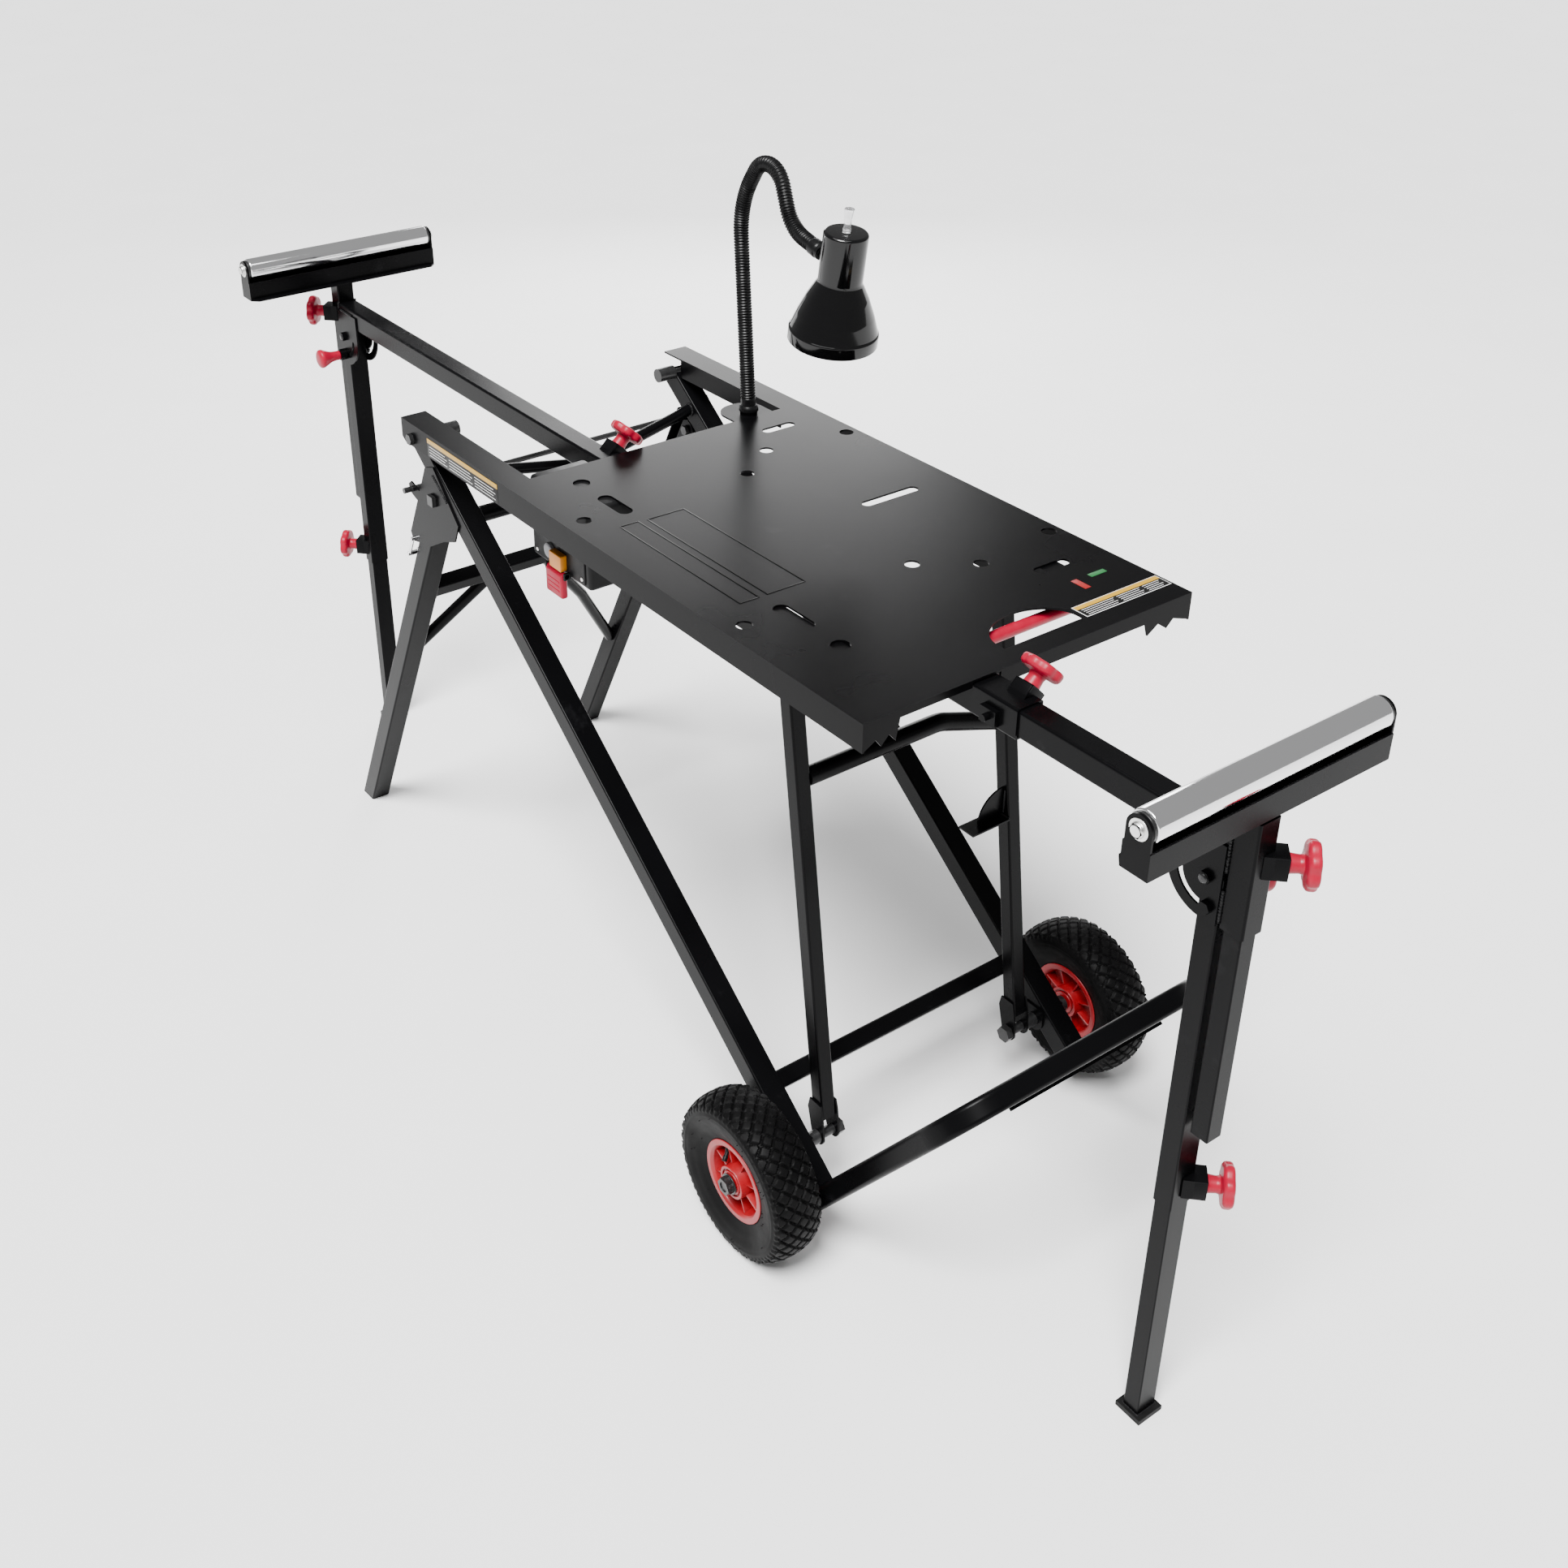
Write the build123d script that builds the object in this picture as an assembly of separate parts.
"""Mobile folding mitre-saw stand: wheeled frame, hinged deck, telescopic outriggers and a work lamp.

Millimetres. +X runs along the deck towards the wheels, +Y to the far side, +Z up.
The origin lies on the floor under the middle of the outrigger span and midway between the wheels.
"""
from build123d import *
from math import cos, radians, sin
import os

# ---- running clearances and stock ----------------------------------------------------------
GAP = 0.3                    # between faces of pieces that move past each other
FIT = 0.05                   # radial play of a pin in its hole
SHEET = 3.0                  # folded sheet steel
WALL = 1.8                   # tube wall

# ---- deck ----------------------------------------------------------------------------------
DECK_REAR, DECK_FRONT = -141.5, 716.0
DECK_HALF = 289.0
DECK_TOP = 960.0
DECK_SKIRT = 918.5           # lower edge of the side flanges
RAIL_REAR = -488.0
RAIL_INNER = 243.0
PATTERN_X = 234.5            # centre line of the deck's hole pattern
ROUND_HOLES = [              # half spacing along X, Y, diameter
    (314.5, -188.0, 27.0), (198.5, -256.0, 23.5), (231.0, 268.0, 23.0),
    (193.5, 39.0, 22.5), (249.0, 118.0, 22.5)]
HAND_HOLE = (615.5, 680.5, -25.0, 118.0)

# ---- deck hinge, long legs and wheels -------------------------------------------------------
HINGE = (-453.5, 932.0)      # X, Z of the deck hinge
LEG = 38.0                   # square leg tube
LEG_Y = 257.0
LEG_RISE = 570.6             # height of the long leg's centre line at X = 0
LEG_SLOPE = 0.752
LONG_TOP_X, LONG_END_X = -470.0, 640.0
AXLE = (559.5, 130.0)        # X, Z of the wheel axle, one tyre radius above the floor
AXLE_R = 8.0
TYRE_R, TYRE_W, RIM_R = 130.0, 84.0, 58.0
HUB_R = 26.0
WHEEL_Y = 337.0
BAR = 28.0                   # cross tubes
TOE_TUBE = 32.0              # square tube of the toe frame

# ---- short legs ----------------------------------------------------------------------------
SHORT_PIVOT = (-413.5, 832.0)
SHORT_LEAN = 27.6            # degrees from vertical
SHORT_Y_WIDTH = LEG - 2 * GAP
FOOT_CAP = 3.0               # thickness of the plug's sole
LOCK_ROD = (-491.0, 825.0)
LATCH_PIVOT, LATCH_ROLLER = (-499.5, 728.0), (-518.3, 692.0)
WIRE_R, BAIL_PIN_R = 3.0, 3.5   # wire of the latch bails and the pin they swing on

# ---- struts --------------------------------------------------------------------------------
STRUT = 25.0
STRUT_Y = 195.0
STRUT_LEAN = 8.05
STRUT_TOP = 908.0

# ---- beam, arms and outriggers ---------------------------------------------------------------
BEAM_Y, BEAM_Z = -88.0, 932.0
SLEEVE = (-201.5, 793.0)
SLEEVE_SIZE, SLEEVE_BORE = 44.0, 38.4
ARM = 38.0
ARM_END = 1119.5
ARM_LENGTH = {"right": 1020.0, "left": 1018.0}
FOLD = (1098.0, 889.0)       # outrigger fold pivot
LOCK = (1104.0, 851.0)       # bolt that runs in the arc slot
OUTER_LEG_X = 1104.0
OUTER_LEG_W = 29.0
OUTER_LEG_END = 388.0
INNER_LEG_W = 25.4
INNER_LEG_TOP = 500.0
PAD = 8.0
POST_X = 1136.5
POST_SLEEVE, POST = 34.0, 26.0
ROLLER_Z, ROLLER_R = 1046.0, 20.0
ROLLER_Y = (-280.0, 104.0)
BOSS = 30.0                  # edge boss for each star knob
STAR_R, STAR_REACH, STAR_THICK, STAR_LOBES = 29.5, 54.0, 17.0, 7
SLEEVE_KNOB_INSET = 28.0
POST_KNOB_Z, LEG_KNOB_Z = 925.0, 420.0

# ---- power box and lamp ----------------------------------------------------------------------
POWER_BOX = ((-166.0, -232.0, 819.0), (6.0, -130.0, 957.0))
PADDLE_X, PADDLE_HINGE = -78.0, 826.0
LAMP_Y = 188.0
NECK_R = 13.0
NECK_PATH = [(-156.5, 967), (-182, 1310), (-97, 1432), (-48, 1300), (28, 1280)]
NECK_BENDS = (150, 40, 60)
NECK_BALL, NECK_BALL_R = (35.25, 1278.1), 7.0     # ball that the lamp head tilts on, just past the neck
SHADE_RIM, SHADE_TOP = (58.0, 1150.0), (84.5, 1326.0)
SHADE_RIM_R, SHADE_NECK_R, SHADE_WALL = 70.0, 34.5, 2.0
SHADE_BAND, SHADE_CONE = 22.0, 97.0   # heights of the rim band and of the top of the cone


# ---- helpers ---------------------------------------------------------------------------------
def box(low, high):
    """Box between two corners."""
    size = [high[i] - low[i] for i in range(3)]
    return Pos(*low) * Box(*size, align=(Align.MIN,) * 3)


def rod(start, end, radius):
    """Round bar between two points."""
    axis = Vector(*end) - Vector(*start)
    return extrude(Plane(origin=start, z_dir=axis) * Circle(radius), amount=axis.length)


def cross_rod(x, z, y0, y1, radius):
    """Round bar along Y."""
    return rod((x, y0, z), (x, y1, z), radius)


def pipe(start, end, radius, wall=WALL):
    """Round tube between two points."""
    return rod(start, end, radius) - rod(start, end, radius - wall)


def bar(start, end, width, depth=None, corner=3.0, side=(0, 1, 0)):
    """Solid square bar between two points; width lies along side."""
    axis = Vector(*end) - Vector(*start)
    section = RectangleRounded(width, depth or width, corner)
    return extrude(Plane(origin=start, x_dir=side, z_dir=axis) * section, amount=axis.length)


def square_tube(start, end, width, depth=None, wall=WALL, corner=3.0, side=(0, 1, 0)):
    """Square tube between two points."""
    depth = depth or width
    inner = bar(start, end, width - 2 * wall, depth - 2 * wall, max(corner - wall, 0.8), side)
    return bar(start, end, width, depth, corner, side) - inner


def plate(outline, y0, y1):
    """Sheet cut to an outline of (X, Z) points, between two Y planes."""
    face = make_face(Polyline([(x, y1, z) for x, z in outline], close=True))
    return extrude(face, amount=y1 - y0, dir=(0, -1, 0))


def hexagon(x, z, y0, y1, across):
    """Hexagon head along Y."""
    face = Plane(origin=(x, y0, z), x_dir=(1, 0, 0), z_dir=(0, 1, 0)) * RegularPolygon(across / 2, 6, False)
    return extrude(face, amount=y1 - y0)


def both_sides(shape):
    """A piece and its mirror image across the middle plane."""
    return [shape, mirror(shape, about=Plane.XZ)]


def turn_unit(shape):
    """Swing a right-hand outrigger piece round to the left-hand end."""
    return Pos(0, BEAM_Y, 0) * Rot(0, 0, 180) * Pos(0, -BEAM_Y, 0) * shape


def write(name, *shapes):
    """Write one sub-part's STEP file."""
    solids = [solid for shape in shapes for solid in shape.solids()]
    export_step(Compound(solids) if len(solids) > 1 else solids[0], f"parts/{name}.step")


# ---- long legs and the rest of the main frame --------------------------------------------------
def leg_z(x):
    """Height of the long leg's centre line."""
    return LEG_RISE - LEG_SLOPE * x


def leg_ends(y):
    return (LONG_TOP_X, y, leg_z(LONG_TOP_X)), (LONG_END_X, y, leg_z(LONG_END_X))


def long_leg():
    """Near long leg with welded axle lugs."""
    start, end = leg_ends(-LEG_Y)
    leg = square_tube(start, end, LEG)
    envelope = bar(start, end, LEG)
    x, z = AXLE
    for y0 in (-LEG_Y - LEG / 2 - SHEET, -LEG_Y + LEG / 2):
        lug = cross_rod(x, z, y0, y0 + SHEET, 20) + box((x - 20, y0, z), (x + 20, y0 + SHEET, z + 25))
        leg += lug - envelope
    leg -= cross_rod(x, z, -WHEEL_Y, 0, AXLE_R)
    leg -= cross_rod(*HINGE, -WHEEL_Y, 0, 5 + FIT)
    return leg


def hinge_plate():
    """Near plate that carries the short leg, with the latch channel behind the leg."""
    outer = -LEG_Y - LEG / 2 - SHEET
    outline = [(-435.5, 884), (-405.5, 894), (-329.5, 815), (-346, 780), (-388.5, 764),
               (-440, 735), (-505, 722), (-512.5, 737), (-474.5, 809.5)]
    ear = [(-474.5, 809.5), (-484, 812), (-500, 818), (-503, 831), (-494, 838), (-464, 830)]
    shape = plate(outline, outer, outer + SHEET) + plate(ear, outer, outer + SHEET)
    web_top, web_low = (-440.9, -LEG_Y - SHEET / 2, 866), (-508.5, -LEG_Y - SHEET / 2, 737)
    shape += bar(web_low, web_top, LEG + SHEET, 3.0, 1.0)
    shape -= cross_rod(*SHORT_PIVOT, -WHEEL_Y, 0, 5)
    shape -= cross_rod(*LOCK_ROD, -WHEEL_Y, 0, 5 + FIT)
    shape -= cross_rod(*LATCH_PIVOT, -WHEEL_Y, 0, BAIL_PIN_R + FIT)
    return shape


def toe_frame():
    """Bent square tube that the folded machine stands on, with a wear strip on its middle bar."""
    foot, bend = Vector(643.5, -LEG_Y, 110), Vector(871.5, -231, 416)
    root = foot - (bend - foot).normalized() * 22
    points = [root, bend, Vector(bend.X, -bend.Y, bend.Z), Vector(root.X, -root.Y, root.Z)]
    path = FilletPolyline([tuple(p) for p in points], radius=80)
    ends = Plane(origin=tuple(root), x_dir=tuple((bend - root).cross(Vector(0, 1, 0))), z_dir=bend - root)
    hollow = RectangleRounded(TOE_TUBE - 2 * WALL, TOE_TUBE - 2 * WALL, 7 - WALL)
    tube = sweep(ends * (RectangleRounded(TOE_TUBE, TOE_TUBE, 7) - hollow), path=path)
    for leg_y in (-LEG_Y, LEG_Y):
        tube -= bar(*leg_ends(leg_y), LEG)
    down = (foot - bend).normalized()
    slope = Vector(down.X, 0, down.Z).normalized()
    below = Vector(-slope.Z, 0, slope.X)
    centre = Vector(bend.X, 0, bend.Z) + slope * (TOE_TUBE / 2 + 0.2) + below * 5
    strip = Plane(origin=tuple(centre), x_dir=(0, 1, 0), z_dir=slope)
    return tube, extrude(strip * Rectangle(290, TOE_TUBE), amount=SHEET)


def upper_crossbar():
    """Shallow V bar near the deck hinge."""
    end, middle = (-403.0, 875.0), (-371.5, 850.0)
    reach = LEG_Y - LEG / 2
    path = FilletPolyline([(end[0], -reach, end[1]), (middle[0], -40, middle[1]),
                           (middle[0], 40, middle[1]), (end[0], reach, end[1])], radius=60)
    start = Plane(origin=(end[0], -reach, end[1]), z_dir=path % 0)
    bent = sweep(start * (Circle(10) - Circle(10 - WALL)), path=path)
    return bent & box((-500, -reach, 700), (-300, reach, 1000))


def main_frame():
    reach = LEG_Y - LEG / 2
    write("long_legs", *both_sides(long_leg()))
    write("upper_crossbar", upper_crossbar())
    write("rear_crossbar", pipe((-335.5, -reach, 823), (-335.5, reach, 823), BAR / 2))
    along_leg = (1, 0, -LEG_SLOPE)
    lower = square_tube((491.5, -reach, 201), (491.5, reach, 201), BAR, corner=5.0, side=along_leg)
    write("lower_crossbar", lower)
    write("toe_frame", *toe_frame())
    inboard = -STRUT_Y + STRUT / 2 + SHEET + GAP
    stub = cross_rod(*AXLE, -WHEEL_Y - 46, inboard, AXLE_R) + hexagon(*AXLE, inboard, inboard + 11, 24)
    write("wheel_axles", *both_sides(stub))
    spacer = cross_rod(*AXLE, -reach + SHEET, -STRUT_Y - STRUT / 2 - SHEET - GAP, 11)
    collar = cross_rod(*AXLE, -WHEEL_Y + 36 + GAP, -LEG_Y - LEG / 2 - SHEET, 13)
    shaft = cross_rod(*AXLE, -WHEEL_Y, WHEEL_Y, AXLE_R)
    write("axle_spacers", *both_sides(spacer - shaft), *both_sides(collar - shaft))
    write("hinge_plates", *both_sides(hinge_plate()))

    nut = hexagon(*AXLE, -WHEEL_Y - 48, -WHEEL_Y - 36.5, 24) - cross_rod(*AXLE, -500, 500, AXLE_R)
    outer = -LEG_Y - LEG / 2
    pivot = cross_rod(*SHORT_PIVOT, outer - SHEET, outer + LEG + 6, 5)
    pivot += box((SHORT_PIVOT[0] - 9, outer - SHEET - 7, SHORT_PIVOT[1] - 9),
                 (SHORT_PIVOT[0] + 9, outer - SHEET, SHORT_PIVOT[1] + 9))
    pivot += hexagon(*SHORT_PIVOT, outer + LEG + GAP, outer + LEG + 7, 16)
    write("frame_bolts", *both_sides(nut), *both_sides(pivot))


# ---- wheels ------------------------------------------------------------------------------------
def revolve_y(profile, x, z, y):
    """Turn (radius, offset) points about an axle along Y."""
    face = make_face(Polyline([(r, 0, h) for r, h in profile], close=True))
    solid = revolve(face, Axis.Z)
    return Pos(x, y, z) * Rot(90, 0, 0) * solid


def wheel(side, y):
    half = TYRE_W / 2
    tread = [(RIM_R + 2, -25.3), (RIM_R + 9, -29.5), (RIM_R + 22, -half + 2), (RIM_R + 40, -half),
             (TYRE_R - 9, -half + 7), (TYRE_R - 2, -24), (TYRE_R, -10)]
    cavity = [(TYRE_R - 10, -24), (RIM_R + 40, -half + 8), (RIM_R + 22, -half + 10), (RIM_R + 2, -15)]
    outside = tread + [(r, -h) for r, h in reversed(tread)]
    tyre = revolve_y(outside + [(r, -h) for r, h in reversed(cavity)] + cavity, *AXLE, y)
    write(f"tyre_{side}", tyre)
    dish = [(AXLE_R + FIT, -36), (12, -36), (12, -33), (HUB_R, -33), (HUB_R, -10), (RIM_R - 3, -10),
            (RIM_R - 3, -29), (RIM_R + 7, -32), (RIM_R + 8, -30.5), (RIM_R + 1.5, -26)]
    rim = revolve_y(dish + [(r, -h) for r, h in reversed(dish)], *AXLE, y)
    write(f"rim_{side}", rim)


# ---- struts ------------------------------------------------------------------------------------
def strut_point(z):
    """X of the strut's centre line at a height."""
    return AXLE[0] - (z - AXLE[1]) * sin(radians(STRUT_LEAN)) / cos(radians(STRUT_LEAN))


def strut_frame():
    low, high = AXLE[1] + 32, STRUT_TOP
    one = square_tube((strut_point(low), -STRUT_Y, low), (strut_point(high), -STRUT_Y, high), STRUT)
    for y in (-STRUT_Y - STRUT / 2 - SHEET, -STRUT_Y + STRUT / 2):
        outline = [(strut_point(z) + dx, z) for dx, z in
                   ((-14, AXLE[1]), (-19, 172), (-13, 190), (13, 190), (15, 172), (14, AXLE[1]))]
        one += plate(outline, y, y + SHEET) + cross_rod(*AXLE, y, y + SHEET, 14)
    one -= cross_rod(*AXLE, -WHEEL_Y, 0, AXLE_R + FIT)
    ear_x, inner = strut_point(880), -STRUT_Y + STRUT / 2
    ear = box((ear_x - 15, inner, 850), (ear_x + 15, inner + SHEET, 905))
    head = hexagon(ear_x, 884, inner + SHEET, inner + SHEET + 6, 17)
    write("struts", *both_sides(one), *both_sides(ear + head))

    path = FilletPolyline([(478.5, -182.5, 718), (478.5, 61, 718), (483.5, 182.5, 679)], radius=70)
    start = Plane(origin=(478.5, -182.5, 718), z_dir=(0, 1, 0))
    tube = sweep(start * (Circle(BAR / 2) - Circle(BAR / 2 - WALL)), path=path)
    write("strut_crossbar", tube & box((400, -182.5, 600), (560, 182.5, 800)))

    x = strut_point(521)
    quarter = cross_rod(0, 0, 0, SHEET, 49) & box((-49, 0, 0), (0, SHEET, 49))
    disc = Pos(x - SHEET / 2, 182.5, 521) * Rot(0, 0, 90) * quarter
    shelf = box((x - 16, 107, 518), (x + 16, 182.5, 521))
    write("hook_bracket", disc + shelf)


# ---- deck --------------------------------------------------------------------------------------
def slot_cut(x, y, length, width, along_x=True):
    """Tool that cuts a slot through the deck sheet."""
    sketch = SlotOverall(length, width, rotation=0 if along_x else 90)
    return extrude(Pos(x, y, DECK_TOP - 10) * sketch, amount=20)


def front_flange():
    """Front edge: shallow between the tabs, with pointed teeth under each tab."""
    outline = [(-289, 957), (-289, 918.5), (-268, 930), (-259, 918.5), (-247, 931), (-236, 918.5),
               (-230, 949), (-88, 949), (-88, 938), (201, 938), (207, 918.5), (226, 931),
               (244, 918.5), (256, 930),
               (289, 918.5), (289, 957)]
    face = make_face(Polyline([(DECK_FRONT, y, z) for y, z in outline], close=True))
    flange = extrude(face, amount=SHEET, dir=(-1, 0, 0))
    half = SLEEVE_SIZE / 2 + 2
    return flange - box((700, BEAM_Y - half, 900), (730, BEAM_Y + half, 956.9))


def hand_hole():
    """D-shaped cut-out with a flat front edge."""
    x0, x1, y0, y1 = HAND_HOLE
    middle, radius = (y0 + y1) / 2, (y1 - y0) / 2
    blank = box((x0, y0, DECK_TOP - 10), (x1, y1, DECK_TOP + 10))
    round_end = Pos(x1 - 12, middle, DECK_TOP) * Cylinder(radius, 20)
    squash = scale(Pos(-x1 + 12, -middle, -DECK_TOP) * round_end, by=((x1 - 12 - x0) / radius, 1, 1))
    back = Pos(x1 - 12, middle, DECK_TOP) * squash
    return blank & (back + box((x1 - 12, y0, DECK_TOP - 10), (x1, y1, DECK_TOP + 10)))


def deck_panel():
    sheet = box((DECK_REAR, -DECK_HALF, DECK_TOP - SHEET), (DECK_FRONT, DECK_HALF, DECK_TOP))
    for side in (-1, 1):
        y0, y1 = sorted((side * DECK_HALF, side * (DECK_HALF - SHEET)))
        sheet += box((DECK_REAR, y0, DECK_SKIRT), (DECK_FRONT, y1, DECK_TOP - SHEET))
    sheet += front_flange()
    for reach, y, diameter in ROUND_HOLES:
        for x in (PATTERN_X - reach, PATTERN_X + reach):
            sheet -= Pos(x, y, DECK_TOP) * Cylinder(diameter / 2, 20)
    for sign in (-1, 1):
        sheet -= slot_cut(PATTERN_X + sign * 218, -189, 77, 24)
        sheet -= slot_cut(PATTERN_X + sign * 313, 191.5, 63, 18, along_x=False)
    sheet -= slot_cut(PATTERN_X + 2, 162.5, 107, 18, along_x=False)
    sheet -= hand_hole()
    for y in (-45, 170):
        hanger = box((600, y, 924), (664, y + SHEET, DECK_TOP - SHEET))
        sheet += hanger - box((612, y - 1, 930.8), (652, y + SHEET + 1, 943.2))
    return sheet


def stiffeners():
    """Hat channels under the deck that rest on the strut tops."""
    y0, y1 = -STRUT_Y - 17, -STRUT_Y + 17
    shell = box((330, y0, STRUT_TOP + 3), (600, y1, DECK_TOP - SHEET))
    hollow = box((320, y0 + 2.5, STRUT_TOP + 5.5), (610, y1 - 2.5, DECK_TOP - SHEET - 2))
    return both_sides(shell - hollow)


def side_rail():
    """Near horn: a channel that carries the deck back to its hinge, with a tongue inside the deck."""
    outer = -DECK_HALF
    outline = [(RAIL_REAR, 960), (RAIL_REAR, 926), (RAIL_REAR + 12, 919), (DECK_REAR, 919), (DECK_REAR, 960)]
    wall = plate(outline, outer, outer + SHEET)
    cap = box((RAIL_REAR, outer, DECK_TOP - SHEET), (DECK_REAR, -RAIL_INNER, DECK_TOP))
    inset, below = outer + SHEET, DECK_TOP - SHEET
    tongue = box((DECK_REAR - 60, inset, 922), (DECK_REAR + 80, inset + SHEET, below))
    web = box((RAIL_REAR + 52, -RAIL_INNER - SHEET, 925), (DECK_REAR, -RAIL_INNER, below))
    rail = wall + cap + tongue + web
    return rail - cross_rod(*HINGE, -WHEEL_Y, 0, 5)


def knob_axis(kind, x, side="right"):
    """Plane whose Z axis runs out along a star knob, from the centre of the tube it clamps."""
    if kind == "beam":
        return Plane(origin=(x, BEAM_Y, BEAM_Z), x_dir=(1, 0, 0), z_dir=(0, 1, 1))
    if kind == "post":
        return Plane(origin=(POST_X, BEAM_Y, x), x_dir=(0, 0, 1), z_dir=(1, 1, 0))
    return Plane(origin=(OUTER_LEG_X, BEAM_Y, x), x_dir=(0, 0, 1), z_dir=(1, 1, 0))


def boss_on(plane, start, tube):
    """Boss welded on a tube's edge; the tube's envelope is cut out of it."""
    block = extrude(plane.offset(start) * Rectangle(BOSS, BOSS), amount=38 - start) - tube
    return block - extrude(plane * Circle(5 + FIT), amount=60)


def star_knob(plane, tip):
    """Knob with a shallow-scalloped rim on a threaded stud."""
    stud = extrude(plane.offset(tip) * Circle(5), amount=STAR_REACH - tip)
    hub = extrude(plane.offset(40) * Circle(12), amount=STAR_REACH - 40)
    star = Circle(STAR_R)
    for k in range(STAR_LOBES):
        star -= Rot(0, 0, 360 / STAR_LOBES * k) * Pos(STAR_R + 9, 0) * Circle(12)
    return stud + hub + extrude(plane.offset(STAR_REACH) * star, amount=STAR_THICK)


SLEEVE_KNOBS = {"right": SLEEVE[1] - SLEEVE_KNOB_INSET, "left": SLEEVE[0] + SLEEVE_KNOB_INSET}


def deck():
    write("deck_panel", deck_panel(), *stiffeners())
    write("side_rails", *both_sides(side_rail()))

    ends = [(x, BEAM_Y, BEAM_Z) for x in SLEEVE]
    wall = (SLEEVE_SIZE - SLEEVE_BORE) / 2
    sleeve = square_tube(*ends, SLEEVE_SIZE, wall=wall, corner=4.0)
    envelope = bar(*ends, SLEEVE_SIZE, corner=4.0)
    bosses = []
    for x in SLEEVE_KNOBS.values():
        plane = knob_axis("beam", x)
        sleeve -= extrude(plane * Circle(5 + FIT), amount=60)
        bosses.append(boss_on(plane, 12, envelope))
    saddles = [box((x - 30, BEAM_Y - 22, BEAM_Z + 22), (x + 30, BEAM_Y + 22, DECK_TOP - SHEET))
               for x in (-60, 250, 560)]
    pin = box((736, BEAM_Y - 30, 916), (764, BEAM_Y - 22, 938))
    pin += cross_rod(750, 927, BEAM_Y - 38, BEAM_Y - 30, 5)
    write("beam_sleeve", sleeve)
    write("sleeve_fittings", *bosses, *saddles, pin)

    low, high = POWER_BOX
    case = box(low, high)
    case = fillet(case.edges().filter_by(Axis.Z), 8)
    case -= box([v + 3 for v in low], [v - 3 for v in high])
    for x in (PADDLE_X - 29, PADDLE_X + 25):
        lug = box((x, low[1] - 13, PADDLE_HINGE - 5), (x + 4, low[1], PADDLE_HINGE + 5))
        case += lug - rod((x, low[1] - 8, PADDLE_HINGE), (x + 4, low[1] - 8, PADDLE_HINGE), 4 + FIT)
    cap = cross_rod(-106, 849, low[1] - 9, low[1], 13)
    write("power_box", case, cap)

    base = box((-206, 148, DECK_TOP - SHEET), (DECK_REAR, 226, DECK_TOP))
    base = fillet(base.edges().filter_by(Axis.Z).group_by(Axis.X)[0], 36)
    socket = Pos(NECK_PATH[0][0], LAMP_Y, DECK_TOP) * Cylinder(14.5, 6, align=(Align.CENTER,) * 2 + (Align.MIN,))
    write("lamp_base", base + socket)
    path = FilletPolyline([(x, LAMP_Y, z) for x, z in NECK_PATH], radius=NECK_BENDS)
    start = Plane(origin=(NECK_PATH[0][0], LAMP_Y, NECK_PATH[0][1]), z_dir=path % 0)
    write("gooseneck", sweep(start * (Circle(NECK_R) - Circle(NECK_R - 2)), path=path))

    outer = -DECK_HALF
    bolt = cross_rod(*HINGE, outer, -LEG_Y + LEG / 2 + 2, 5)
    bolt += hexagon(*HINGE, outer - 7, outer, 17)
    bolt += cross_rod(*HINGE, -LEG_Y + LEG / 2 + GAP, -LEG_Y + LEG / 2 + 34, 12.5)
    spacer = cross_rod(*HINGE, outer + SHEET, -LEG_Y - LEG / 2 - GAP, 11) - cross_rod(*HINGE, -400, 0, 5)
    write("deck_hinge_bolts", *both_sides(bolt), *both_sides(spacer))

    grip = cross_rod(620, 937, -48, 176, 6) + cross_rod(620, 937, -41.5, 169.5, 9)
    write("release_bar", grip)


# ---- lamp head -----------------------------------------------------------------------------------
def lamp():
    rim, top = SHADE_RIM, SHADE_TOP
    axis = Vector(top[0] - rim[0], 0, top[1] - rim[1])
    place = Plane(origin=(rim[0], LAMP_Y, rim[1]), x_dir=(0, 1, 0), z_dir=axis).location
    height = axis.length
    outer = [(SHADE_RIM_R, 0), (SHADE_RIM_R - 0.5, SHADE_BAND), (SHADE_NECK_R, SHADE_CONE),
             (SHADE_NECK_R, height - 3), (SHADE_NECK_R - 3, height)]
    inner = [(SHADE_NECK_R - 3, height - SHADE_WALL), (SHADE_NECK_R - SHADE_WALL, height - 3.5),
             (SHADE_NECK_R - SHADE_WALL, SHADE_CONE + 0.5), (SHADE_RIM_R - 2.7, SHADE_BAND + 0.5),
             (SHADE_RIM_R - SHADE_WALL, 0)]
    profile = outer + [(0, height), (0, height - SHADE_WALL)] + inner
    shell = revolve(make_face(Polyline([(r, 0, h) for r, h in profile], close=True)), Axis.Z)
    stem = rod((NECK_BALL[0], LAMP_Y, NECK_BALL[1]), (50, LAMP_Y, 1274.2), 5.5)
    knuckle = stem + Pos(NECK_BALL[0], LAMP_Y, NECK_BALL[1]) * Sphere(NECK_BALL_R)
    write("lamp_shade", place * shell + (knuckle - place * Pos(0, 0, height / 2) * Cylinder(34, height)))
    holder = Pos(0, 0, height - SHADE_WALL - 52) * Cylinder(19, 52, align=(Align.CENTER,) * 2 + (Align.MIN,))
    glass = Pos(0, 0, 80) * Sphere(27) + Pos(0, 0, 80) * Cylinder(13, 43, align=(Align.CENTER,) * 2 + (Align.MIN,))
    write("lamp_holder", place * holder)
    write("lamp_bulb", place * glass)
    switch = Solid.make_cone(6.8, 8.5, 36, Plane(origin=(0, 0, height + GAP)))
    write("lamp_switch", place * switch)


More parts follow.
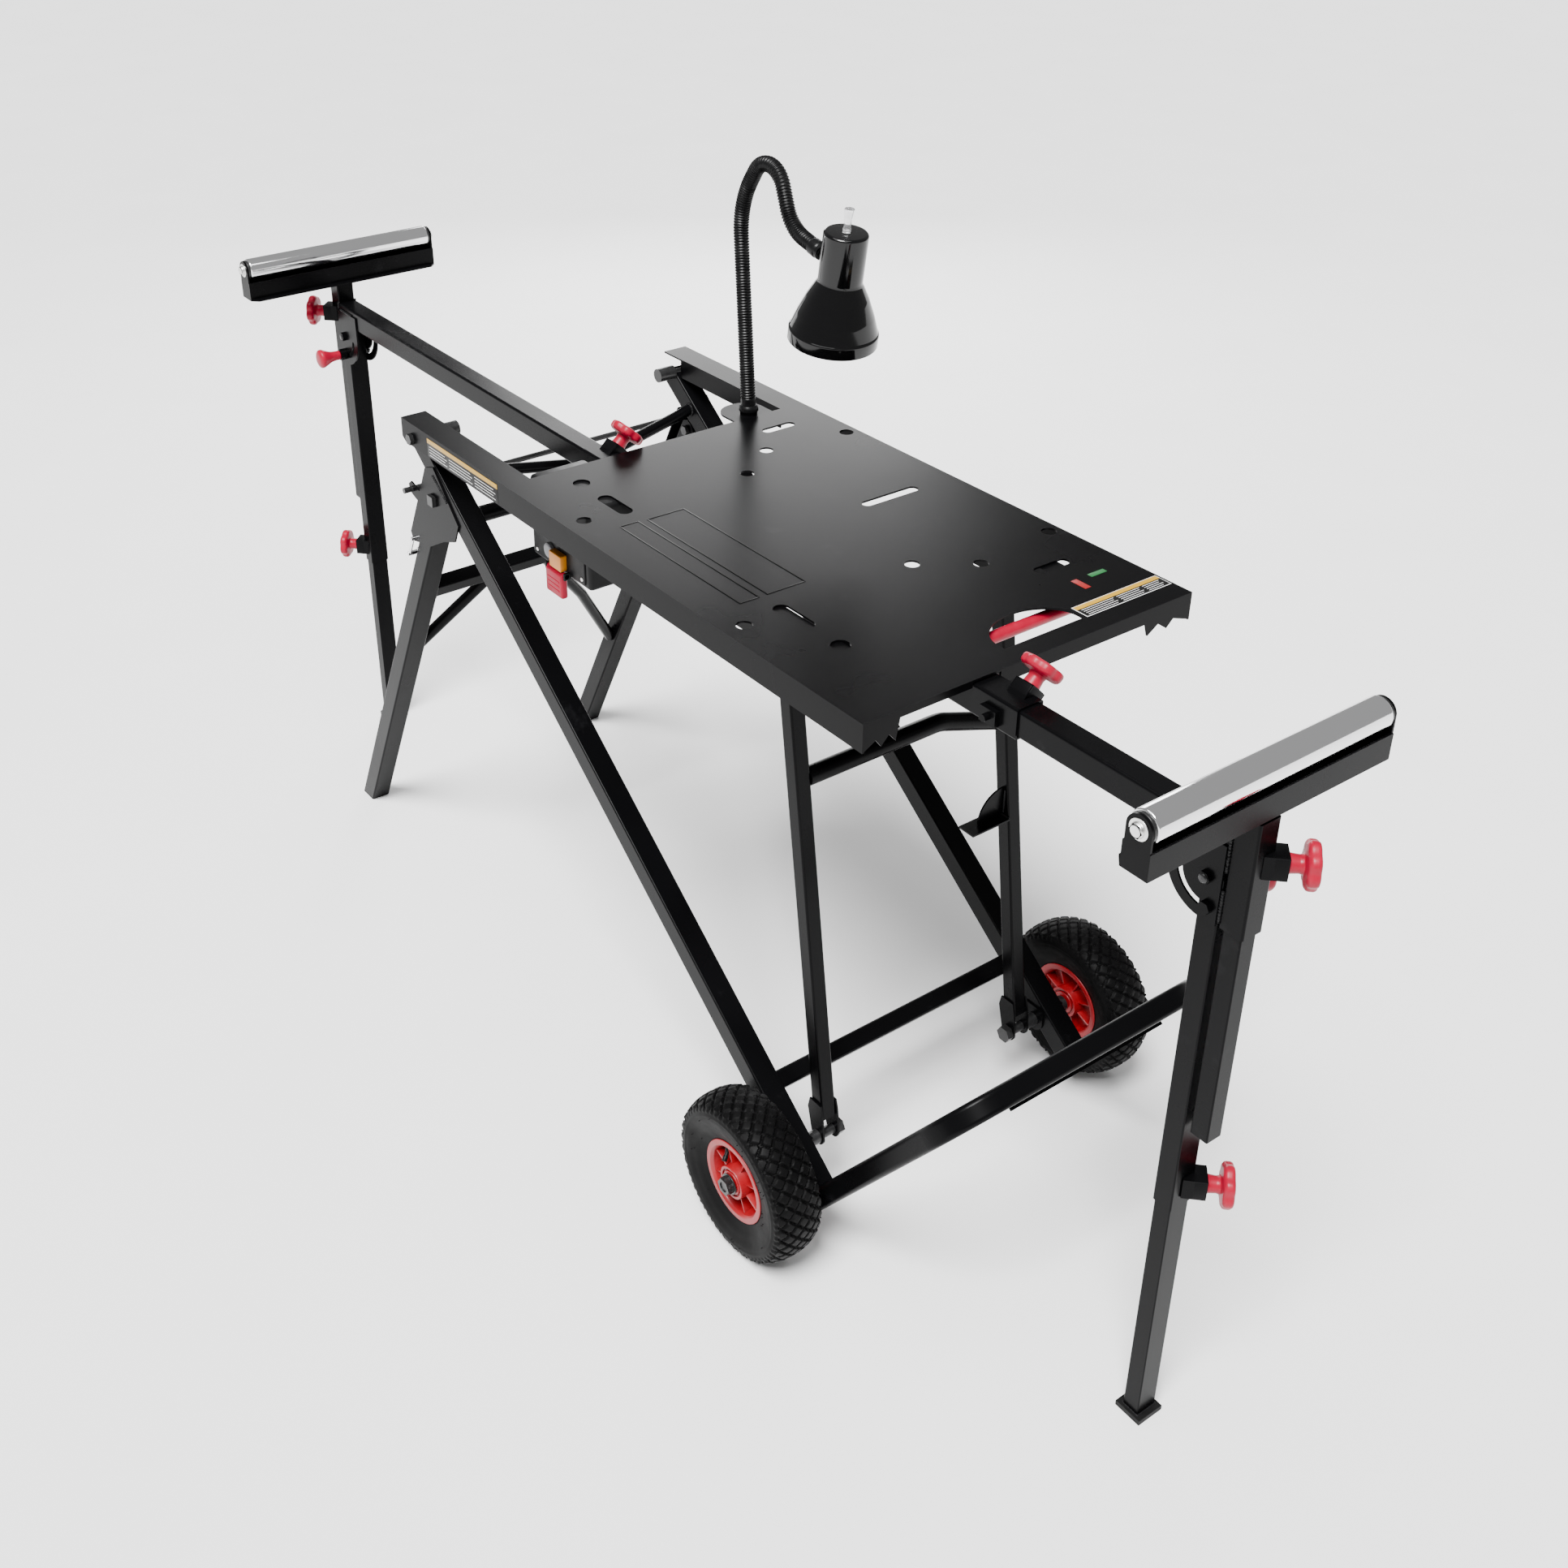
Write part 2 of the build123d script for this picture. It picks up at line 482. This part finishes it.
def power_controls():
    face = POWER_BOX[0][1]
    paddle = box((PADDLE_X - 20, face - 16, 786), (PADDLE_X + 20, face - 6, PADDLE_HINGE + 2))
    paddle = fillet(paddle.edges().filter_by(Axis.Y), 2)
    paddle += rod((PADDLE_X - 29, face - 8, PADDLE_HINGE), (PADDLE_X + 29, face - 8, PADDLE_HINGE), 4)
    write("power_paddle", paddle)
    key = box((-92, face - 14, 831.5), (-58, face - 2, 858)) + box((-84, face - 2, 838), (-72, face - GAP, 850))
    write("power_key", key)


# ---- short legs ------------------------------------------------------------------------------------
def short_point(distance):
    """X, Z at a distance below the pivot along the short leg."""
    lean = radians(SHORT_LEAN)
    return SHORT_PIVOT[0] - distance * sin(lean), SHORT_PIVOT[1] - distance * cos(lean)


def short_bar(distance0, distance1, width, depth):
    (x0, z0), (x1, z1) = short_point(distance0), short_point(distance1)
    return (x0, -LEG_Y, z0), (x1, -LEG_Y, z1), width, depth


def short_legs():
    y0, y1 = -LEG_Y - 60, -LEG_Y + 60
    length = SHORT_PIVOT[1] / cos(radians(SHORT_LEAN))
    leg = square_tube(*short_bar(0, length + 40, SHORT_Y_WIDTH, LEG))
    top = square_tube(*short_bar(-LEG / 2, 0.5, SHORT_Y_WIDTH, LEG))
    leg += top & cross_rod(*SHORT_PIVOT, y0, y1, LEG / 2)
    leg -= cross_rod(*SHORT_PIVOT, y0, y1, 5 + FIT)
    leg &= box((-1200, y0, FOOT_CAP), (0, y1, 1000))
    write("short_legs", *both_sides(leg))

    bore = 2 * WALL + 2 * FIT
    sole = bar(*short_bar(length - 34, length + 60, SHORT_Y_WIDTH, LEG)) & box((-1200, y0, 0), (0, y1, FOOT_CAP))
    plug = bar(*short_bar(length - 34, length + 60, SHORT_Y_WIDTH - bore, LEG - bore), 1.5)
    write("leg_shoes", *both_sides(sole + (plug & box((-1200, y0, 0), (0, y1, 1000)))))

    reach = LEG_Y - SHORT_Y_WIDTH / 2
    x, z = short_point(255)
    tilt = Vector(sin(radians(SHORT_LEAN)), 0, cos(radians(SHORT_LEAN)))
    write("short_crossbar", square_tube((x, -reach, z), (x, reach, z), BAR, side=tuple(tilt)))

    def in_plane(y, height):
        px, pz = short_point((SHORT_PIVOT[1] - height) / cos(radians(SHORT_LEAN)))
        return px, y, pz
    near = pipe(in_plane(-115, 592), in_plane(-reach, 455), 11)
    path = FilletPolyline([in_plane(0, 592), in_plane(119, 448), in_plane(reach, 272)], radius=60)
    start = Plane(origin=in_plane(0, 592), z_dir=path % 0)
    far = sweep(start * (Circle(11) - Circle(11 - WALL)), path=path)
    trim = bar((x, -reach, z), (x, reach, z), BAR, side=tuple(tilt))
    inside = box((-1200, -reach, 0), (0, reach, 1000))
    write("short_braces", (near - trim) & inside, (far - trim) & inside)


def latch():
    """Wire bail round each short leg's channel, and the lock rod between the hinge plates."""
    outer = -LEG_Y - LEG / 2
    low, high = LATCH_ROLLER, LATCH_PIVOT
    sides = outer - SHEET - WIRE_R - GAP, outer + LEG + WIRE_R + GAP
    ends = sides[0] - 4, sides[1] + 4
    bail = cross_rod(*high, *ends, BAIL_PIN_R) + cross_rod(*low, *ends, 4)
    bail += cross_rod(*low, outer + 9, outer + LEG - 9, 7)
    for y in sides:
        bail += rod((low[0], y, low[1]), (high[0], y, high[1]), WIRE_R)
    write("latch_bails", *both_sides(bail))
    write("lock_rod", cross_rod(*LOCK_ROD, -295, 295, 5))


# ---- outrigger units --------------------------------------------------------------------------------
def head_plates():
    """Two quadrant plates welded to the arm's sides, with the arc slot that the lock bolt follows."""
    (px, pz), (lx, lz) = FOLD, LOCK
    edge = ARM_END - 1
    face = (Pos(px, pz) * Circle(57) & Pos(px - 40, pz - 40) * Rectangle(80, 80))
    face += Pos((px + edge) / 2, (pz - 57 + 905) / 2) * Rectangle(edge - px, 905 - pz + 57)
    face += Pos((px - 57 + edge) / 2, (pz + 940) / 2) * Rectangle(edge - px + 57, 940 - pz)
    slot_r = ((lx - px) ** 2 + (lz - pz) ** 2) ** 0.5
    arc = CenterArc((px, pz), slot_r, 188.5, 90.5)
    slot = trace(arc, 8.8)
    for end in (arc @ 0, arc @ 1):
        slot += Pos(end.X, end.Y) * Circle(4.4)
    face -= slot
    face -= Pos(px, pz) * Circle(4)
    plates = []
    for y in (BEAM_Y - ARM / 2 - SHEET, BEAM_Y + ARM / 2):
        plane = Plane(origin=(0, y + SHEET, 0), x_dir=(1, 0, 0), z_dir=(0, -1, 0))
        plates.append(extrude(plane * face, amount=SHEET))
    return plates


def outrigger(side):
    """Write the arm, head, leg, roller and knobs of one end."""
    def put(name, *shapes):
        placed = [turn_unit(s) for s in shapes] if side == "left" else list(shapes)
        write(f"{side}_{name}", *placed)

    start = (ARM_END - ARM_LENGTH[side], BEAM_Y, BEAM_Z)
    put("arm", square_tube(start, (ARM_END, BEAM_Y, BEAM_Z), ARM, corner=4.0))

    post_low, post_high = 830.0, 985.0
    sleeve_ends = (POST_X, BEAM_Y, post_low), (POST_X, BEAM_Y, post_high)
    wall = (POST_SLEEVE - POST) / 2 - GAP
    sleeve = square_tube(*sleeve_ends, POST_SLEEVE, wall=wall)
    post_plane = knob_axis("post", POST_KNOB_Z)
    sleeve -= extrude(post_plane * Circle(5 + FIT), amount=60)
    boss = boss_on(post_plane, 10, bar(*sleeve_ends, POST_SLEEVE))
    low, high = BEAM_Y - ARM / 2, BEAM_Y + ARM / 2
    pivot = cross_rod(*FOLD, low - SHEET, high + SHEET, 4)
    pivot += hexagon(*FOLD, low - SHEET - 6, low - SHEET, 15) + hexagon(*FOLD, high + SHEET, high + SHEET + 7, 15)
    put("head", *head_plates(), sleeve, boss, pivot)

    width = SHORT_Y_WIDTH
    outer_ends = (OUTER_LEG_X, BEAM_Y, OUTER_LEG_END), (OUTER_LEG_X, BEAM_Y, FOLD[1] + 21)
    leg = square_tube(*outer_ends, width, OUTER_LEG_W, wall=1.6, corner=2.0)
    round_top = cross_rod(*FOLD, low, high, 20.5) + box((1060, low, 300), (1140, high, FOLD[1]))
    leg &= round_top
    for x, z, radius in ((*FOLD, 4 + FIT), (*LOCK, 4)):
        leg -= cross_rod(x, z, low, high, radius)
    leg_plane = knob_axis("leg", LEG_KNOB_Z)
    leg -= extrude(leg_plane * Circle(5 + FIT), amount=60)
    leg_boss = boss_on(leg_plane, 8, bar(*outer_ends, width, OUTER_LEG_W, corner=2.0))
    bell_foot = high + SHEET + 12
    lock_bolt = cross_rod(*LOCK, low - SHEET - GAP, bell_foot + 30, 4)
    lock_bolt += hexagon(*LOCK, low - SHEET - 6.5, low - SHEET - GAP, 15)
    lock_bolt += cross_rod(*LOCK, high + SHEET + GAP, bell_foot, 11)
    put("outer_leg", leg, leg_boss, lock_bolt)

    inner_y, inner_x = width - 3.8, INNER_LEG_W
    tube = square_tube((OUTER_LEG_X, BEAM_Y, PAD), (OUTER_LEG_X, BEAM_Y, INNER_LEG_TOP),
                       inner_y, inner_x, wall=1.6, corner=1.5)
    put("inner_leg", tube)
    put("foot_pad", box((OUTER_LEG_X - 21, BEAM_Y - 22, 0), (OUTER_LEG_X + 21, BEAM_Y + 22, PAD)))

    post = square_tube((POST_X, BEAM_Y, 523), (POST_X, BEAM_Y, 990), POST, corner=2.0)
    y0, y1 = ROLLER_Y
    lip = Polyline([(1105, y0 + 8), (1117, y0 - 4), (1155, y0 - 4), (1155, y1 + 4), (1117, y1 + 4),
                    (1105, y1 - 8)], close=True)
    bracket = extrude(Pos(0, 0, 990) * make_face(lip), amount=SHEET)
    for x in (1117, 1152):
        bracket += box((x, y0 - 4, 993), (x + SHEET, y1 + 4, 1024))
    for y in (y0 - 4, y1 + 1):
        bracket += box((1119, y, 993), (1154, y + SHEET, ROLLER_Z))
        bracket += cross_rod(POST_X, ROLLER_Z, y, y + SHEET, 17.5)
        bracket -= cross_rod(POST_X, ROLLER_Z, y - 1, y + SHEET + 1, 4)
    axle = cross_rod(POST_X, ROLLER_Z, y0 - 4, y1 + 4, 4)
    axle += hexagon(POST_X, ROLLER_Z, y0 - 10, y0 - 4, 15) + hexagon(POST_X, ROLLER_Z, y1 + 4, y1 + 10, 15)
    put("roller_post", post, bracket, axle)
    roller = cross_rod(POST_X, ROLLER_Z, y0, y1, ROLLER_R)
    roller -= cross_rod(POST_X, ROLLER_Z, y0 + 12, y1 - 12, ROLLER_R - 1.5)
    put("roller", roller - cross_rod(POST_X, ROLLER_Z, y0, y1, 4 + FIT))

    put("post_knob", star_knob(post_plane, POST * 2 ** 0.5 / 2 + 0.4))
    put("leg_knob", star_knob(leg_plane, 22.0))
    bell = revolve_y([(0, 0), (9, 0), (9.5, -14), (12, -22), (18, -32), (19, -38), (16, -44), (0, -46)],
                     *LOCK, bell_foot + GAP)
    put("lock_knob", bell - cross_rod(*LOCK, low, bell_foot + 30 + FIT, 4 + FIT))
    write(f"{side}_arm_knob", star_knob(knob_axis("beam", SLEEVE_KNOBS[side]), 25.6))


def main():
    os.makedirs("parts", exist_ok=True)
    main_frame()
    wheel("near", -WHEEL_Y)
    wheel("far", WHEEL_Y)
    strut_frame()
    deck()
    lamp()
    power_controls()
    short_legs()
    latch()
    outrigger("right")
    outrigger("left")


main()
